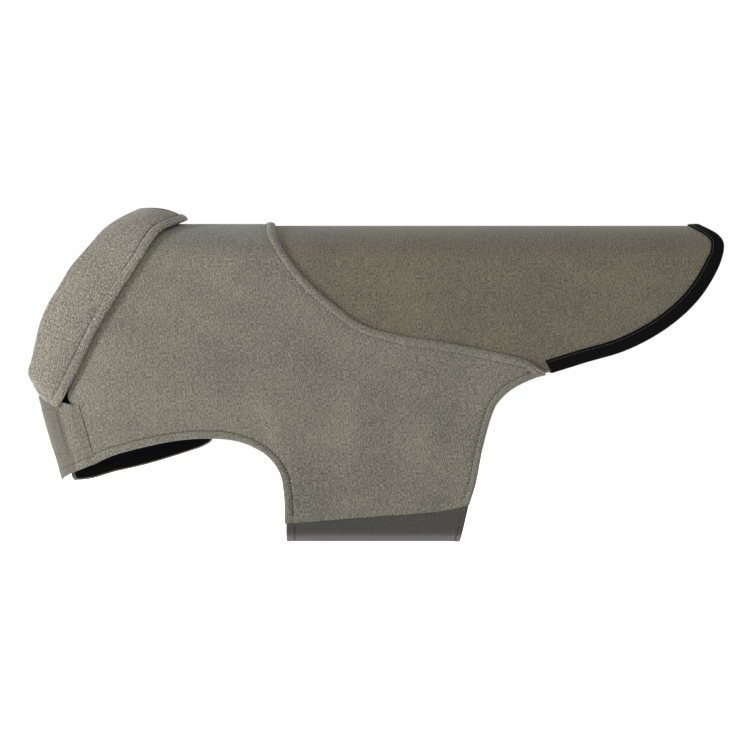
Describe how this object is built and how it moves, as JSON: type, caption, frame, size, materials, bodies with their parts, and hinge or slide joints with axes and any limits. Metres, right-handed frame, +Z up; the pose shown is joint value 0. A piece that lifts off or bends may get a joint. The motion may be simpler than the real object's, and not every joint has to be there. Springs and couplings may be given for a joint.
{
  "type": "dog coat",
  "caption": "Fitted dog coat of melange softshell with a fold-down shirt collar, hook-and-loop chest flap, bound rump panel and under-belly band.",
  "frame": {"origin": "on the lining at the withers, where the coat rests on the back", "axes": "+X from head to tail, +Z up; the left side of the dog is at -Y"},
  "size_m": [0.696, 0.1456, 0.3338],
  "materials": {
    "outer_cloth": "matte melange softshell",
    "collar_cloth": "matte melange softshell",
    "rump_cloth": "matte melange softshell",
    "dark_cloth": "matte plain weave",
    "black_lining": "short fleece",
    "binding": "matte ribbed tape",
    "loop_tape": "napped loop tape",
    "hook_tape": "matte hook tape"
  },
  "bodies": {
    "coat": {"front_shell": "outer_cloth", "front_lining": "black_lining", "rump_shell": "rump_cloth", "rump_lining": "black_lining", "rump_binding": "binding", "leg_facing_left": "dark_cloth", "leg_facing_right": "dark_cloth", "flank_facing_left": "dark_cloth", "flank_facing_right": "dark_cloth", "corner_stay_left": "rump_cloth", "corner_stay_right": "rump_cloth", "bar_tack_left": "dark_cloth", "bar_tack_right": "dark_cloth", "chest_underlap": "outer_cloth", "chest_loop_patch": "loop_tape", "collar_stand": "collar_cloth", "collar_back_fall": "collar_cloth", "collar_back_under": "outer_cloth", "neck_tape": "dark_cloth", "belly_strip_left": "dark_cloth", "belly_loop_strip": "loop_tape"},
    "chest_flap": {"chest_flap": "outer_cloth", "chest_flap_lining": "black_lining", "chest_hook_patch": "hook_tape"},
    "collar_wing_left": {"collar_wing_left_fall": "collar_cloth", "collar_wing_left_under": "outer_cloth"},
    "collar_wing_right": {"collar_wing_right_fall": "collar_cloth", "collar_wing_right_under": "outer_cloth"},
    "belly_band": {"belly_band": "dark_cloth", "belly_hook_strip": "hook_tape", "belly_lining": "black_lining"}
  },
  "joints": [
    {"name": "chest_flap_opens", "type": "hinge", "parent": "coat", "child": "chest_flap", "pos_m": [-0.1678, -0.032, -0.1879], "axis": [-0.2742, 0.0204, 0.9615], "range_deg": [0, 110]},
    {"name": "collar_left_turns_up", "type": "hinge", "parent": "coat", "child": "collar_wing_left", "pos_m": [-0.1784, -0.0367, -0.0295], "axis": [-0.3891, 0.2334, -0.8911], "range_deg": [0, 140]},
    {"name": "collar_right_turns_up", "type": "hinge", "parent": "coat", "child": "collar_wing_right", "pos_m": [-0.1784, 0.0367, -0.0295], "axis": [0.3891, 0.2334, 0.8911], "range_deg": [0, 140]},
    {"name": "belly_band_opens", "type": "hinge", "parent": "coat", "child": "belly_band", "pos_m": [0.0465, -0.0709, -0.3035], "axis": [-0.9999, -0.0108, 0], "range_deg": [0, 90]}
  ]
}
